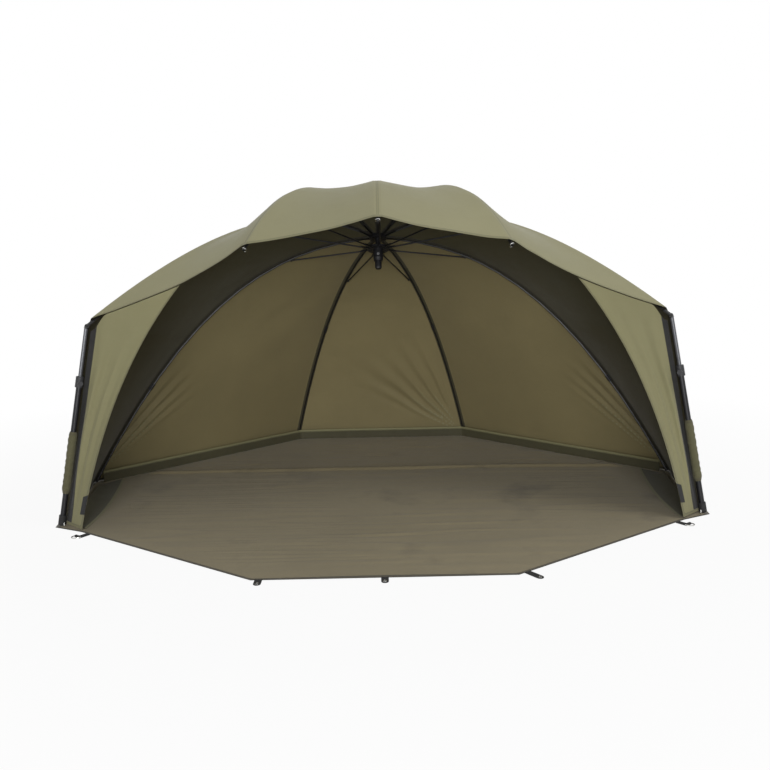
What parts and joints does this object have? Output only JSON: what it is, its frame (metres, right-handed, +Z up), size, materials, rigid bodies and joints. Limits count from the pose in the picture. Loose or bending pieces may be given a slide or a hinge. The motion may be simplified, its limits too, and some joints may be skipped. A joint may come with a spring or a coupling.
{
  "type": "fishing umbrella",
  "caption": "Oval fishing umbrella shelter: tilted crown, curved folding ribs with stretchers, cloth panels, storm sides, telescopic storm poles and a groundsheet.",
  "frame": {"origin": "centre of the underside of the whole part's bounding box, on the ground", "axes": "+Z up, -Y out of the open front, +X to the right as seen from the front"},
  "size_m": [2.804, 2.264, 1.367],
  "materials": {
    "canopy_cloth": "woven matte olive polyester",
    "wing_cloth": "woven matte olive polyester",
    "sleeve_cloth": "gathered matte olive polyester",
    "floor_cloth": "coated wrinkled olive-brown sheet",
    "wall_cloth": "matte dark olive hem cloth",
    "webbing": "black woven webbing",
    "rib_rod": "black glass-fibre rod",
    "stretcher_rod": "black anodised rod",
    "moulded_black": "moulded black nylon",
    "moulded_grey": "moulded grey nylon",
    "grey_tube": "satin grey anodised tube",
    "black_tube": "satin black anodised tube",
    "foot_rubber": "black rubber",
    "ring_steel": "bright plated wire"
  },
  "bodies": {
    "ground": {"groundsheet": "floor_cloth", "mud_wall": "wall_cloth", "ring_tab_left": "webbing", "ring_tab_right": "webbing", "peg_tab_left": "webbing", "peg_tab_centre": "webbing", "front_strap": "webbing"},
    "crown": {"crown_hub": "moulded_black", "crown_cap": "moulded_black", "stem": "grey_tube", "stem_boss": "moulded_black", "peak_panel_left": "canopy_cloth", "peak_panel_right": "canopy_cloth", "lobe_panel_left": "canopy_cloth", "lobe_panel_right": "canopy_cloth", "side_panel_left": "canopy_cloth", "side_panel_right": "canopy_cloth", "back_panel_left": "canopy_cloth", "back_panel_right": "canopy_cloth", "rear_panel": "canopy_cloth", "storm_side_left": "wing_cloth", "storm_side_right": "wing_cloth"},
    "runner": {"runner": "moulded_black"},
    "release_button": {"release_button": "moulded_grey"},
    "rib_centre": {"rib_centre": "rib_rod", "tip_ring": "ring_steel"},
    "stretcher_centre": {"stretcher_centre": "stretcher_rod"},
    "rib_peak_left": {"rib_peak_left": "rib_rod"},
    "stretcher_peak_left": {"stretcher_peak_left": "stretcher_rod"},
    "rib_peak_right": {"rib_peak_right": "rib_rod"},
    "stretcher_peak_right": {"stretcher_peak_right": "stretcher_rod"},
    "rib_front_left": {"rib_front_left": "rib_rod"},
    "stretcher_front_left": {"stretcher_front_left": "stretcher_rod"},
    "rib_front_right": {"rib_front_right": "rib_rod"},
    "stretcher_front_right": {"stretcher_front_right": "stretcher_rod"},
    "rib_side_left": {"rib_side_left": "rib_rod"},
    "stretcher_side_left": {"stretcher_side_left": "stretcher_rod"},
    "rib_side_right": {"rib_side_right": "rib_rod"},
    "stretcher_side_right": {"stretcher_side_right": "stretcher_rod"},
    "rib_rear_left": {"rib_rear_left": "rib_rod"},
    "stretcher_rear_left": {"stretcher_rear_left": "stretcher_rod"},
    "rib_rear_right": {"rib_rear_right": "rib_rod"},
    "stretcher_rear_right": {"stretcher_rear_right": "stretcher_rod"},
    "pole_inner_left": {"pole_inner_left": "grey_tube"},
    "pole_outer_left": {"pole_outer_left": "black_tube", "pole_collar_left": "moulded_black", "pole_sleeve_left": "sleeve_cloth", "pole_shoe_left": "foot_rubber"},
    "thumbscrew_left": {"thumbscrew_left": "moulded_black"},
    "d_ring_left": {"d_ring_left": "ring_steel"},
    "pole_inner_right": {"pole_inner_right": "grey_tube"},
    "pole_outer_right": {"pole_outer_right": "black_tube", "pole_collar_right": "moulded_black", "pole_sleeve_right": "sleeve_cloth", "pole_shoe_right": "foot_rubber"},
    "thumbscrew_right": {"thumbscrew_right": "moulded_black"},
    "d_ring_right": {"d_ring_right": "ring_steel"}
  },
  "joints": [
    {"name": "crown_lift", "type": "slide", "parent": "ground", "child": "crown", "axis": [0, 0, 1], "range_m": [0, 1.3], "deforming": ["peak_panel_left", "peak_panel_right", "lobe_panel_left", "lobe_panel_right", "side_panel_left", "side_panel_right", "back_panel_left", "back_panel_right", "rear_panel", "storm_side_left", "storm_side_right", "groundsheet", "mud_wall"]},
    {"name": "fold_centre", "type": "hinge", "parent": "crown", "child": "rib_centre", "pos_m": [0, 0.27637, 1.15346], "axis": [1, 0, 0], "range_deg": [0, 68]},
    {"name": "fold_peak_left", "type": "hinge", "parent": "crown", "child": "rib_peak_left", "pos_m": [-0.02233, 0.28414, 1.1504], "axis": [0.7541, -0.611, 0.2407], "range_deg": [0, 66.48]},
    {"name": "fold_peak_right", "type": "hinge", "parent": "crown", "child": "rib_peak_right", "pos_m": [0.02233, 0.28414, 1.1504], "axis": [0.7541, 0.611, -0.2407], "range_deg": [0, 66.48]},
    {"name": "fold_front_left", "type": "hinge", "parent": "crown", "child": "rib_front_left", "pos_m": [-0.03061, 0.29423, 1.14642], "axis": [0.4353, -0.8377, 0.33], "range_deg": [0, 63.47]},
    {"name": "fold_front_right", "type": "hinge", "parent": "crown", "child": "rib_front_right", "pos_m": [0.03061, 0.29423, 1.14642], "axis": [0.4353, 0.8377, -0.33], "range_deg": [0, 63.47]},
    {"name": "fold_side_left", "type": "hinge", "parent": "crown", "child": "rib_side_left", "pos_m": [-0.03326, 0.31457, 1.13841], "axis": [-0.2078, -0.9101, 0.3585], "range_deg": [0, 50.25]},
    {"name": "fold_side_right", "type": "hinge", "parent": "crown", "child": "rib_side_right", "pos_m": [0.03326, 0.31457, 1.13841], "axis": [-0.2078, 0.9101, -0.3585], "range_deg": [0, 50.25]},
    {"name": "fold_rear_left", "type": "hinge", "parent": "crown", "child": "rib_rear_left", "pos_m": [-0.01338, 0.33708, 1.12954], "axis": [-0.9194, -0.366, 0.1442], "range_deg": [0, 56.94]},
    {"name": "fold_rear_right", "type": "hinge", "parent": "crown", "child": "rib_rear_right", "pos_m": [0.01338, 0.33708, 1.12954], "axis": [-0.9194, 0.366, -0.1442], "range_deg": [0, 56.94]},
    {"name": "runner_slide", "type": "slide", "parent": "crown", "child": "runner", "axis": [0, 0.3665, 0.9304], "range_m": [0, 0.043]},
    {"name": "stretch_centre", "type": "hinge", "parent": "runner", "child": "stretcher_centre", "pos_m": [0, 0.24468, 1.10576], "axis": [1, 0, 0], "range_deg": [0, 74.43]},
    {"name": "stretch_peak_left", "type": "hinge", "parent": "runner", "child": "stretcher_peak_left", "pos_m": [-0.03021, 0.2552, 1.10161], "axis": [0.7541, -0.611, 0.2407], "range_deg": [0, 72.32]},
    {"name": "stretch_peak_right", "type": "hinge", "parent": "runner", "child": "stretcher_peak_right", "pos_m": [0.03021, 0.2552, 1.10161], "axis": [0.7541, 0.611, -0.2407], "range_deg": [0, 72.32]},
    {"name": "stretch_front_left", "type": "hinge", "parent": "runner", "child": "stretcher_front_left", "pos_m": [-0.04141, 0.26885, 1.09624], "axis": [0.4353, -0.8377, 0.33], "range_deg": [0, 69.49]},
    {"name": "stretch_front_right", "type": "hinge", "parent": "runner", "child": "stretcher_front_right", "pos_m": [0.04141, 0.26885, 1.09624], "axis": [0.4353, 0.8377, -0.33], "range_deg": [0, 69.49]},
    {"name": "stretch_side_left", "type": "hinge", "parent": "runner", "child": "stretcher_side_left", "pos_m": [-0.045, 0.29637, 1.08539], "axis": [-0.2078, -0.9101, 0.3585], "range_deg": [0, 58.62]},
    {"name": "stretch_side_right", "type": "hinge", "parent": "runner", "child": "stretcher_side_right", "pos_m": [0.045, 0.29637, 1.08539], "axis": [-0.2078, 0.9101, -0.3585], "range_deg": [0, 58.62]},
    {"name": "stretch_rear_left", "type": "hinge", "parent": "runner", "child": "stretcher_rear_left", "pos_m": [-0.0181, 0.32682, 1.0734], "axis": [-0.9194, -0.366, 0.1442], "range_deg": [0, 65.79]},
    {"name": "stretch_rear_right", "type": "hinge", "parent": "runner", "child": "stretcher_rear_right", "pos_m": [0.0181, 0.32682, 1.0734], "axis": [-0.9194, 0.366, -0.1442], "range_deg": [0, 65.79]},
    {"name": "pole_swing_left", "type": "hinge", "parent": "rib_front_left", "child": "pole_inner_left", "pos_m": [-1.1581, -0.41235, 0.79062], "axis": [0.4353, -0.8377, 0.33], "range_deg": [-87.47, 0]},
    {"name": "pole_slide_left", "type": "slide", "parent": "pole_inner_left", "child": "pole_outer_left", "axis": [-0.1645, -0.0819, -0.983], "range_m": [-0.17, 0.12]},
    {"name": "screw_turn_left", "type": "hinge", "parent": "pole_outer_left", "child": "thumbscrew_left", "pos_m": [-1.18751, -0.44519, 0.57142], "axis": [0.4456, -0.8952, 0], "range_deg": [0, 360]},
    {"name": "ring_lift_left", "type": "hinge", "parent": "ground", "child": "d_ring_left", "pos_m": [-1.17156, -0.62699, 0.0056], "axis": [-0.8175, 0.5759, 0], "range_deg": [0, 170]},
    {"name": "pole_swing_right", "type": "hinge", "parent": "rib_front_right", "child": "pole_inner_right", "pos_m": [1.1581, -0.41235, 0.79062], "axis": [0.4353, 0.8377, -0.33], "range_deg": [-87.47, 0]},
    {"name": "pole_slide_right", "type": "slide", "parent": "pole_inner_right", "child": "pole_outer_right", "axis": [0.1645, -0.0819, -0.983], "range_m": [-0.17, 0.12]},
    {"name": "screw_turn_right", "type": "hinge", "parent": "pole_outer_right", "child": "thumbscrew_right", "pos_m": [1.18751, -0.4452, 0.57142], "axis": [-0.4456, -0.8952, 0], "range_deg": [0, 360]},
    {"name": "ring_lift_right", "type": "hinge", "parent": "ground", "child": "d_ring_right", "pos_m": [1.17156, -0.62699, 0.0056], "axis": [-0.8175, -0.5759, 0], "range_deg": [0, 170]},
    {"name": "button_press", "type": "slide", "parent": "runner", "child": "release_button", "axis": [0, 0.9304, -0.3665], "range_m": [0, 0.003], "stiffness_N_per_m": 600, "springref_m": -0.002}
  ],
  "couplings": [
    {"joint": "fold_centre", "follows": "crown_lift", "rad_per_m": 0.9129},
    {"joint": "fold_peak_left", "follows": "crown_lift", "rad_per_m": 0.89249},
    {"joint": "fold_peak_right", "follows": "crown_lift", "rad_per_m": 0.89249},
    {"joint": "fold_front_left", "follows": "crown_lift", "rad_per_m": 0.85211},
    {"joint": "fold_front_right", "follows": "crown_lift", "rad_per_m": 0.85211},
    {"joint": "fold_side_left", "follows": "crown_lift", "rad_per_m": 0.67467},
    {"joint": "fold_side_right", "follows": "crown_lift", "rad_per_m": 0.67467},
    {"joint": "fold_rear_left", "follows": "crown_lift", "rad_per_m": 0.76442},
    {"joint": "fold_rear_right", "follows": "crown_lift", "rad_per_m": 0.76442},
    {"joint": "runner_slide", "follows": "crown_lift", "ratio": 0.03307},
    {"joint": "stretch_centre", "follows": "crown_lift", "rad_per_m": 0.99922},
    {"joint": "stretch_peak_left", "follows": "crown_lift", "rad_per_m": 0.97095},
    {"joint": "stretch_peak_right", "follows": "crown_lift", "rad_per_m": 0.97095},
    {"joint": "stretch_front_left", "follows": "crown_lift", "rad_per_m": 0.93299},
    {"joint": "stretch_front_right", "follows": "crown_lift", "rad_per_m": 0.93299},
    {"joint": "stretch_side_left", "follows": "crown_lift", "rad_per_m": 0.78698},
    {"joint": "stretch_side_right", "follows": "crown_lift", "rad_per_m": 0.78698},
    {"joint": "stretch_rear_left", "follows": "crown_lift", "rad_per_m": 0.88321},
    {"joint": "stretch_rear_right", "follows": "crown_lift", "rad_per_m": 0.88321},
    {"joint": "pole_swing_left", "follows": "crown_lift", "rad_per_m": -1.1743},
    {"joint": "pole_swing_right", "follows": "crown_lift", "rad_per_m": -1.1743}
  ]
}
